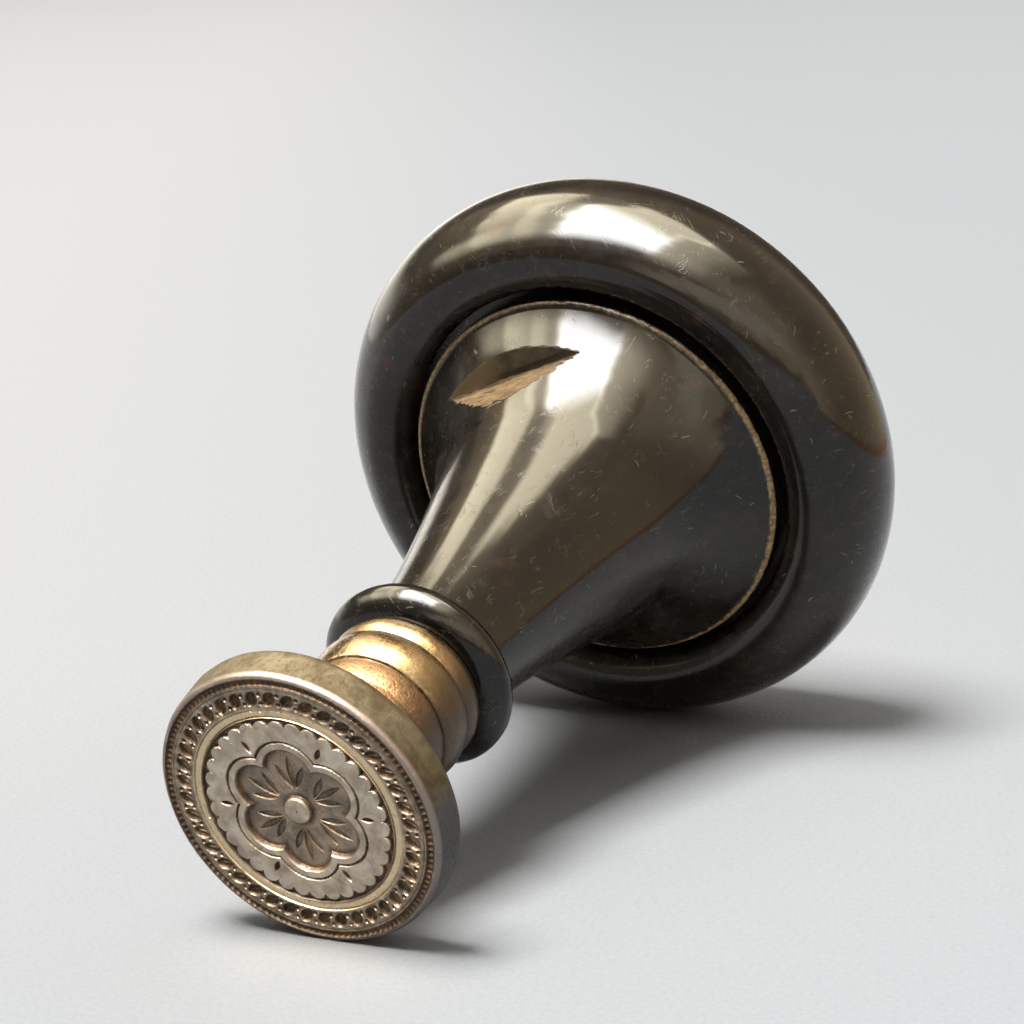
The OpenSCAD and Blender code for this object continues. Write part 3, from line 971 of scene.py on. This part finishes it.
def matrix_face():
    """Pale worn metal of the face, with a golden ridge, a dull border and brown patina in its cuts."""
    paint = Paint("face metal")
    blot = paint.noise(0.4, 5.0, warp=0.7)
    grain = paint.noise(3.5, 4.0)
    nick = face_nicks(paint)
    outer = paint.ramp(paint.radius(), BAND[0] * FACE_R - 0.1, BAND[0] * FACE_R + 0.1)
    tarnish = paint.times(outer, paint.ramp(paint.noise(1.3, 4.0), 0.3, 0.7, 0.3, 0.85))
    milled = paint.band(paint.radius(), BORDER[0] * FACE_R, BORDER[1] * FACE_R, 0.1)
    ridge = paint.band(paint.radius(), RIDGE[0] * FACE_R, RIDGE[1] * FACE_R, 0.1)
    patina = paint.times(paint.attribute("dark"), paint.ramp(grain, 0.15, 0.6, 0.75, 1.0))
    brown = paint.mix(paint.ramp(blot, 0.4, 0.65), (0.038, 0.023, 0.013), (0.12, 0.058, 0.025))
    colour = paint.mix(paint.ramp(blot, 0.3, 0.72), (0.265, 0.22, 0.175), (0.49, 0.43, 0.355))
    colour = paint.mix(paint.ramp(grain, 0.55, 0.75, 0.0, 0.4), colour, (0.2, 0.16, 0.115))
    colour = paint.layers(
        paint.mix(tarnish, colour, (0.11, 0.08, 0.05)),
        (milled, 0.85, (0.055, 0.038, 0.023)),
        (ridge, 0.7, (0.62, 0.49, 0.31)),
        (nick, 0.5, (0.2, 0.16, 0.11)))
    colour = paint.mix(patina, colour, brown)
    dull = paint.most(patina, paint.times(milled, 0.8))
    rough = paint.plus(paint.ramp(grain, 0.3, 0.7, 0.36, 0.52), paint.times(dull, 0.12))
    rough = paint.math("SUBTRACT", rough, paint.times(ridge, 0.12))
    paint.set(Metallic=paint.ramp(dull, 0.2, 1.0, 1.0, 0.55))
    return paint.finished(colour, rough, (grain, 0.02), (nick, -0.025), (paint.noise(0.9, 3.0), 0.03))


def matrix_side():
    """Olive brass of the disc's side and back: mottled, with a painted reflection of the cool floor on the
    low side near the camera, and rubbed along the rim.
    """
    paint = Paint("side brass", Metallic=1.0)
    blot = paint.noise(0.45, 5.0, warp=0.9)
    fleck = paint.ramp(paint.noise(1.8, 5.0, rough=0.65), 0.5, 0.68)
    brown = paint.ramp(paint.noise(0.2, 4.0, turn=(0.3, 0.9, 0.2), warp=0.6), 0.48, 0.66)
    # Painted reflection: the cool colour of the floor on the low side near the camera
    painted_floor_reflection = paint.ramp(towards_shade_and_reflection_side(paint, blot), 15.2, 17.2)
    rubbed = paint.ramp(paint.height(), 0.9, 0.3)
    colour = paint.layers(
        paint.mix(paint.ramp(blot, 0.32, 0.68), (0.065, 0.053, 0.034), (0.12, 0.101, 0.068)),
        (fleck, 0.5, (0.06, 0.05, 0.035)),
        (brown, 0.6, (0.055, 0.038, 0.022)),
        (painted_floor_reflection, 0.9, (0.072, 0.075, 0.083)),
        (rubbed, 0.8, (0.23, 0.195, 0.185)))
    rough = paint.ramp(paint.math("SUBTRACT", fleck, rubbed), -1.0, 1.0, 0.42, 0.8)
    return paint.finished(colour, rough, (paint.noise(1.2, 4.0), 0.03), (fleck, -0.012),
                          (paint.noise(2.0, 1.0, (40, 40, 0.2)), 0.006))


def stud_steel():
    """Dark steel of the stud, bright on the crests of its thread."""
    paint = Paint("stud steel", Metallic=1.0)
    grain = paint.noise(1.2, 5.0)
    crest = paint.ramp(paint.radius(), STUD_R - 0.35, STUD_R - 0.05)
    colour = paint.mix(paint.ramp(grain, 0.3, 0.7), (0.16, 0.145, 0.13), (0.3, 0.285, 0.26))
    colour = paint.mix(crest, colour, (0.52, 0.5, 0.47))
    return paint.finished(colour, paint.ramp(grain, 0.3, 0.7, 0.3, 0.5), (grain, 0.015))


def bush_brass():
    """Plain turned brass of the bush."""
    paint = Paint("bush brass", laid=False, Metallic=1.0)
    grain = paint.noise(1.0, 4.0)
    colour = paint.mix(grain, (0.5, 0.38, 0.18), (0.7, 0.56, 0.32))
    return paint.finished(colour, paint.ramp(grain, 0.3, 0.7, 0.28, 0.42), (paint.noise(4.0, 1.0), 0.008))


def wedge_wood():
    """Plain sawn wood of the wedge."""
    paint = Paint("wedge wood", laid=False)
    grain = paint.noise(1.1, 5.0, (1, 1, 8), warp=0.5)
    colour = paint.mix(paint.ramp(grain, 0.3, 0.7), (0.33, 0.21, 0.11), (0.6, 0.45, 0.28))
    return paint.finished(colour, paint.ramp(grain, 0.3, 0.7, 0.55, 0.75), (grain, 0.05))


# Assembly

def dress(piece, node, body, slot, *materials):
    """Puts a piece in a CAD node's place, on its body, with its finish."""
    for material in materials:
        piece.data.materials.append(material)
    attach(piece, body)
    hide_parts(node)
    return piece


def side_faces(piece, radius):
    """Gives the faces outside a radius, or behind the engraved face, the second material."""
    back = LAID.inverted()
    for face in piece.data.polygons:
        middle = back @ face.center / MM
        if math.hypot(middle.x, middle.y) > radius or middle.z > 2 * CUT_DEPTH:
            face.material_index = 1


def build():
    """Makes and dresses every piece, and paints the two CAD nodes that stay."""
    matrix = dress(seal_matrix(), "seal_matrix", "matrix", "matrix_metal", matrix_face(), matrix_side())
    side_faces(matrix, FACE_R - 0.5)
    dress(matrix_neck(), "matrix_neck", "matrix", "gilt_brass", gilt())
    dress(tang_stud(), "tang_stud", "matrix", "stud_steel", stud_steel())
    dress(collar_ring(), "collar_ring", "collar", "collar_black", collar_horn())
    dress(stem(), "stem", "handle", "handle_black", stem_horn())
    black = head_horn()
    dress(head_ring(), "head_ring", "handle", "handle_black", black)
    dress(palm_cap(), "palm_cap", "handle", "handle_black", black)
    for node, material in (("thread_bush", bush_brass()), ("tenon_wedge", wedge_wood())):
        frame["nodes"][node].data.materials.clear()
        frame["nodes"][node].data.materials.append(material)


# Floor and camera

# Lens and sensor are in millimetres, places and half the floor's width in metres
CAMERA_PLACE = Vector((-257.2, -141.8, 107.3)) * MM
CAMERA_AIM = Vector((24.8, 10.9, 29.5)) * MM
CAMERA_ROLL = math.radians(-4)
LENS = 91.4
SENSOR = 36
FLOOR_HALF = 4.5

# Directions as the camera sees them
RIGHT = Vector((0.476, -0.879, 0))
AWAY = Vector((0.879, 0.476, 0))
UP = Vector((0, 0, 1))


def rectangle(name, low, high, material):
    """Flat mesh between two corners of its own plane."""
    mesh = bpy.data.meshes.new(name)
    corners = [(low[0], low[1], 0), (high[0], low[1], 0), (high[0], high[1], 0), (low[0], high[1], 0)]
    mesh.from_pydata(corners, [], [(0, 1, 2, 3)])
    mesh.materials.append(material)
    return add(name, mesh)


def floor():
    """Large pale floor, with painted light: brighter at the left, and darker and cooler at the right and
    towards the camera.
    """
    paint = Paint("pale floor", laid=False, Specular_IOR_Level=0.0)
    right = paint.dot(paint.mm, tuple(RIGHT))
    away = paint.dot(paint.mm, tuple(AWAY))
    grain = paint.noise(1.6, 3.0)
    # Painted light: the floor's colour falls off from the left to the right and towards the camera
    colour = paint.mix(paint.ramp(right, -190, 150), (0.84, 0.83, 0.815), (0.68, 0.7, 0.71))
    colour = paint.mix(paint.ramp(away, 100, -90, 0.0, 0.6), colour, (0.71, 0.745, 0.76))
    colour = paint.mix(paint.ramp(grain, 0.35, 0.7, 0.0, 0.14), colour, (0.45, 0.46, 0.48))
    pale = paint.finished(colour, 0.7, (grain, 0.12))
    sheet = rectangle("floor", (-FLOOR_HALF, -FLOOR_HALF), (FLOOR_HALF, FLOOR_HALF), pale)


def camera():
    """Camera at the photograph's place, aim and roll."""
    data = bpy.data.cameras.new("camera")
    data.lens = LENS
    data.sensor_width = SENSOR
    eye = add("camera", data)
    look = (CAMERA_AIM - CAMERA_PLACE).to_track_quat("-Z", "Y").to_matrix().to_4x4()
    eye.matrix_world = Matrix.Translation(CAMERA_PLACE) @ look @ Matrix.Rotation(CAMERA_ROLL, 4, "Z")
    bpy.context.scene.camera = eye


# The window overhead, in metres, with places on its plane as shares of WINDOW_UNIT along and up
TARGET = Vector((0.01, 0, 0.03))
WINDOW_RAY = (RIGHT * -0.34 + AWAY * 0.02 + UP * 0.94).normalized()
WINDOW_SPIN = math.radians(-43)
WINDOW_FAR = 12.0
WINDOW_UNIT = (0.6 * WINDOW_FAR, 0.44 * WINDOW_FAR)
WINDOW_CARD = ((-2.3, -2.5), (2.8, 1.4))
WINDOW_LAMP = ((-1.0, -1.15), (1.6, 1.0))
SKY_LAMP = ((-0.02, -0.67), (0.72, 0.33))
LEFT_PANE = (-1.0, -0.4)
RIGHT_PANE = (0.03, 1.0)
SKY_TOP = 0.45
SKY_SLOPE = 0.6
BAR_SHIFT = 0.3

# Levels and colours of the window and the room, and the direction of the fill
WINDOW_LEVEL = 0.4
SKY_LEVEL = 15.2
PANE_GLOSS = 14.0
SKY_GLOSS = 22.0
WHITE = (1.0, 1.0, 1.0)
DAYLIGHT = (1.0, 0.98, 0.95)
CREAM = (1.0, 0.9, 0.65)
BROWN = (1.0, 0.76, 0.48)
DIM = (0.4, 0.32, 0.23)
NEAR_WALL = (2.1, 1.68, 1.14)
FAR_WALL = (0.14, 0.11, 0.08)
PALE_STRIP = (2.9, 2.6, 2.0)
DARK_STAND = (0.5, 0.36, 0.23)
HORIZON = (2.1, 1.95, 1.7)
RED_FOOT = (0.75, 0.26, 0.12)
BACKDROP = (0.72, 0.71, 0.69)
FILL = (0.5, 0.48, 0.455)
FILL_FROM = (RIGHT * 0.62 + AWAY * 0.48 + UP * 0.62).normalized()
SHADE = (0.03, 0.03, 0.03)

# The brown card at the right, in metres
BROWN_FAR = 0.21
BROWN_CARD = ((-0.25, 0.0), (0.15, 0.3))


def hang(item, middle=(0, 0)):
    """Puts a lamp or card on the window's plane, facing the seal."""
    side = AWAY.cross(WINDOW_RAY).normalized()
    matrix = Matrix((side, WINDOW_RAY.cross(side), WINDOW_RAY)).transposed().to_4x4()
    matrix = matrix @ Matrix.Rotation(WINDOW_SPIN, 4, "Z")
    matrix.translation = TARGET + WINDOW_RAY * WINDOW_FAR
    shift = (middle[0] * WINDOW_UNIT[0], middle[1] * WINDOW_UNIT[1], 0)
    item.matrix_world = matrix @ Matrix.Translation(shift)


def lamp(name, low, high, level, colour):
    """Soft lamp over a stretch of the window, for all but gloss."""
    data = bpy.data.lights.new(name, "AREA")
    data.shape = "RECTANGLE"
    data.size = (high[0] - low[0]) * WINDOW_UNIT[0]
    data.size_y = (high[1] - low[1]) * WINDOW_UNIT[1]
    data.energy = level * math.pi * data.size * data.size_y
    data.color = colour
    item = add(name, data)
    item.visible_glossy = False
    hang(item, ((low[0] + high[0]) / 2, (low[1] + high[1]) / 2))


def card(name, low, high, material):
    """Rectangle that only gloss sees, between two corners of its own plane."""
    item = rectangle(name, low, high, material)
    item.visible_camera = False
    item.visible_diffuse = False
    item.visible_shadow = False
    return item


def window_level(paint, along, up):
    """Brightness over the window's plane, and where it is bright sky."""
    shifted = paint.math("SUBTRACT", along, paint.ramp(up, 0.4, 0.95, 0.0, BAR_SHIFT))
    slant = paint.plus(up, paint.times(along, SKY_SLOPE))
    in_right = paint.band(shifted, *RIGHT_PANE, 0.2)
    sky = paint.times(in_right, paint.ramp(slant, SKY_TOP - 0.25, SKY_TOP + 0.4, 1.0, 0.0))
    in_tail = paint.band(along, -1.4, LEFT_PANE[0], 0.6)
    in_bar = paint.band(shifted, LEFT_PANE[1] - 0.1, RIGHT_PANE[0], 0.08)
    parts = [
        paint.times(paint.band(along, *LEFT_PANE, 0.16), paint.ramp(up, -0.5, 0.2, 7.5, 10.0)),
        paint.times(in_tail, paint.ramp(up, -0.5, -0.9, 0.0, 5.5)),
        paint.times(in_bar, paint.ramp(up, 0.2, 0.8, 6.0, 0.8)),
        paint.times(in_right, PANE_GLOSS),
        paint.times(sky, SKY_GLOSS),
    ]
    glow = paint.times(paint.ramp(along, RIGHT_PANE[1], 2.6, 8.0, 0.0), paint.ramp(shifted, 0.95, 1.0),
                       paint.ramp(up, -2.4, -1.2))
    level = paint.times(paint.plus(*parts), paint.ramp(up, -1.9, -1.1))
    level = paint.times(paint.plus(level, glow), paint.ramp(up, 1.36, 1.15))
    return level, sky


def window_panes():
    """Emission of the window and of the wall round it, with uneven edges."""
    paint = Paint("window panes", laid=False)
    spot = paint.node("ShaderNodeTexCoord").outputs["Object"]
    share = paint.vector("MULTIPLY", spot, (1 / WINDOW_UNIT[0], 1 / WINDOW_UNIT[1], 0))
    drift = paint.node("ShaderNodeTexNoise", {"Vector": share, "Scale": 2.5, "Detail": 2.0}).outputs["Color"]
    drift = paint.vector("MULTIPLY", paint.vector("SUBTRACT", drift, (0.5, 0.5, 0.5)), (0.25, 0.25, 0.25))
    place = paint.vector("ADD", share, drift)
    along = paint.part(place, "X")
    up = paint.part(place, "Y")
    level, sky = window_level(paint, along, up)
    panes = paint.scaled(paint.mix(sky, CREAM, WHITE), level)
    wall = paint.mix(paint.ramp(along, -2.2, -0.8), DIM, BROWN)
    near = paint.times(paint.ramp(up, -0.4, -1.0), paint.ramp(along, 0.9, 1.6))
    wall = paint.mix(near, wall, NEAR_WALL)
    paint.emit(paint.vector("ADD", panes, wall))
    return paint.material


def window_card():
    """Card in the window's place."""
    low, high = [[share * unit for share, unit in zip(corner, WINDOW_UNIT)] for corner in WINDOW_CARD]
    hang(card("window_card", low, high, window_panes()))


def brown_card():
    """Upright warm brown card at the right, red along its foot."""
    paint = Paint("brown card", laid=False)
    wall = paint.mix(paint.ramp(paint.part(paint.mm, "X"), -80, -250), BROWN, NEAR_WALL)
    paint.emit(paint.mix(paint.ramp(paint.part(paint.mm, "Y"), 3.0, 14.0), RED_FOOT, wall))
    item = card("brown_card", *BROWN_CARD, paint.material)
    item.matrix_world = Matrix((AWAY, UP, RIGHT)).transposed().to_4x4()
    item.matrix_world.translation = RIGHT * BROWN_FAR


def room_gloss(nodes, spot, right, away, up):
    """Room that gloss sees: dim at the left, warm at the right and dark at the far side, with a pale strip
    over a dark stand behind the camera, and a pale horizon at the far left."""
    colour = nodes.mix(nodes.ramp(right, -0.6, 0.0), DIM, BROWN)
    near = nodes.times(nodes.ramp(away, -0.35, -0.75), nodes.ramp(right, -0.1, 0.15))
    colour = nodes.mix(near, colour, NEAR_WALL)
    colour = nodes.mix(nodes.ramp(away, 0.4, 0.8), colour, FAR_WALL)
    ragged = nodes.node("ShaderNodeTexNoise", {"Vector": spot, "Scale": 9.0, "Detail": 3.0}).outputs[0]
    ragged = nodes.plus(up, nodes.ramp(ragged, 0.2, 0.8, -0.08, 0.08))
    behind = nodes.ramp(away, -0.72, -0.9)
    strip = nodes.times(behind, nodes.band(ragged, 0.27, 0.42, 0.06), 0.9)
    colour = nodes.mix(strip, colour, PALE_STRIP)
    stand = nodes.times(behind, nodes.band(ragged, -0.3, 0.06, 0.06), nodes.ramp(right, 0.6, 0.4))
    colour = nodes.mix(stand, colour, DARK_STAND)
    low = nodes.ramp(up, 0.28, 0.12)
    horizon = nodes.times(nodes.ramp(away, 0.3, 0.7), low, nodes.ramp(right, 0.2, -0.1))
    return nodes.mix(horizon, colour, HORIZON)


def room():
    """World: the room for gloss, a soft fill for other light, and a pale backdrop for the camera."""
    world = bpy.data.worlds.new("room")
    world.use_nodes = True
    nodes = Nodes(world.node_tree)
    spot = nodes.node("ShaderNodeTexCoord").outputs["Generated"]
    right, away, up, fill = [nodes.dot(spot, tuple(axis)) for axis in (RIGHT, AWAY, UP, FILL_FROM)]
    rays = nodes.node("ShaderNodeLightPath").outputs
    colour = nodes.mix(nodes.ramp(fill, 0.55, 0.95), SHADE, FILL)
    colour = nodes.mix(rays["Is Glossy Ray"], colour, room_gloss(nodes, spot, right, away, up))
    colour = nodes.mix(rays["Is Camera Ray"], colour, BACKDROP)
    nodes.feed(world.node_tree.nodes["Background"].inputs["Color"], colour)
    bpy.context.scene.world = world


def light():
    """Soft light of the window, its card and the brown card for gloss, and the room all round."""
    lamp("window", *WINDOW_LAMP, WINDOW_LEVEL, DAYLIGHT)
    lamp("sky", *SKY_LAMP, SKY_LEVEL, WHITE)
    window_card()
    brown_card()
    room()
    bpy.context.scene.view_settings.view_transform = "Standard"


build()
floor()
camera()
light()
